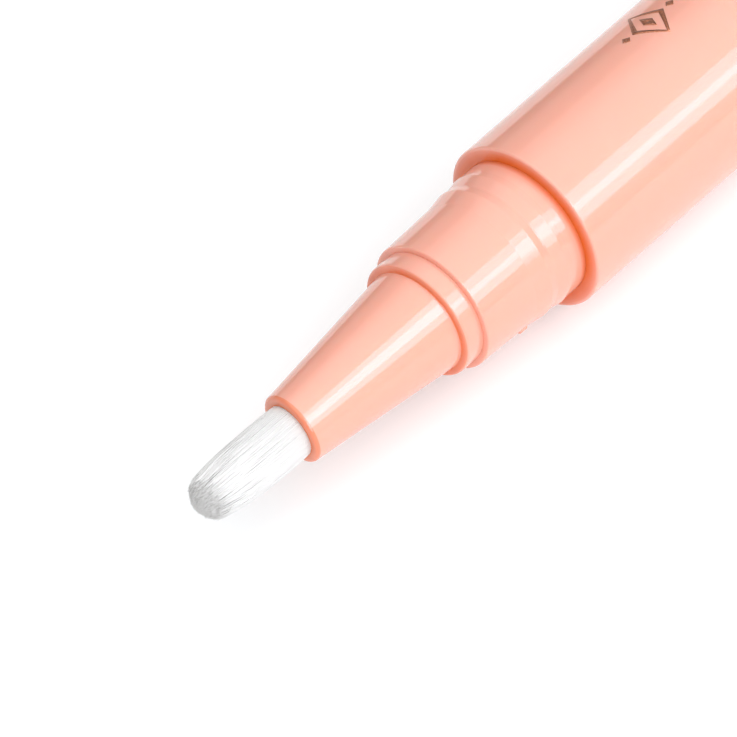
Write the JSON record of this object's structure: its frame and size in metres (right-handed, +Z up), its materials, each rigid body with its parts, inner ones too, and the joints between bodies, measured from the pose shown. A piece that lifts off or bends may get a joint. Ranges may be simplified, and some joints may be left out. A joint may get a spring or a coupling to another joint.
{
  "type": "nail oil pen",
  "caption": "Twist-up nail oil pen lying uncapped, with a white brush on a tapered nozzle, a ringed neck, a plain round barrel, a fluted twist knob and a pull-off cap ahead of it.",
  "frame": {"origin": "on the surface the pen lies on, below the middle of the whole length of pen and pulled-off cap", "axes": "+X along the pen's axis towards the twist knob, so the brush points to -X; +Z up from the surface"},
  "size_m": [0.1994, 0.012, 0.012],
  "materials": {
    "peach_plastic": "satin",
    "peach_neck": "satin",
    "peach_knob": "satin",
    "filament": "satin",
    "clear_plastic": "satin",
    "white_plastic": "satin",
    "grey_plastic": "satin",
    "seal_rubber": "matte"
  },
  "bodies": {
    "barrel_body": {"barrel": "peach_plastic", "reservoir": "peach_neck", "nozzle": "peach_neck", "brush_tuft": "filament", "brush_ferrule": "clear_plastic", "feed_tube": "clear_plastic", "metering_plug": "grey_plastic", "nozzle_seal": "seal_rubber", "rod_nut": "clear_plastic", "ratchet_ring": "clear_plastic", "rear_bush": "clear_plastic"},
    "knob_body": {"knob": "peach_knob", "knob_seal": "seal_rubber", "knob_end_disc": "peach_plastic", "drive_sleeve": "white_plastic", "ratchet_pawl": "grey_plastic"},
    "piston_body": {"piston": "white_plastic", "piston_seal": "seal_rubber"},
    "rod_body": {"threaded_rod": "white_plastic"},
    "cap_body": {"cap_shell": "peach_plastic", "cap_liner": "white_plastic"}
  },
  "joints": [
    {"name": "knob_twist", "type": "hinge", "parent": "barrel_body", "child": "knob_body", "pos_m": [0.0927, 0, 0.006], "axis": [-1, 0, 0], "range_deg": [0, 7200], "deforming": ["ratchet_pawl"]},
    {"name": "piston_feed", "type": "slide", "parent": "barrel_body", "child": "piston_body", "axis": [-1, 0, 0], "range_m": [0, 0.03601]},
    {"name": "rod_spin", "type": "hinge", "parent": "piston_body", "child": "rod_body", "pos_m": [0.0477, 0, 0.006], "axis": [-1, 0, 0], "range_deg": [0, 7201]},
    {"name": "cap_slide", "type": "slide", "parent": "barrel_body", "child": "cap_body", "axis": [1, 0, 0], "range_m": [0, 0.06582]}
  ],
  "couplings": [
    {"joint": "piston_feed", "follows": "knob_twist", "m_per_rad": 0.00028648},
    {"joint": "rod_spin", "follows": "knob_twist", "ratio": 1}
  ]
}
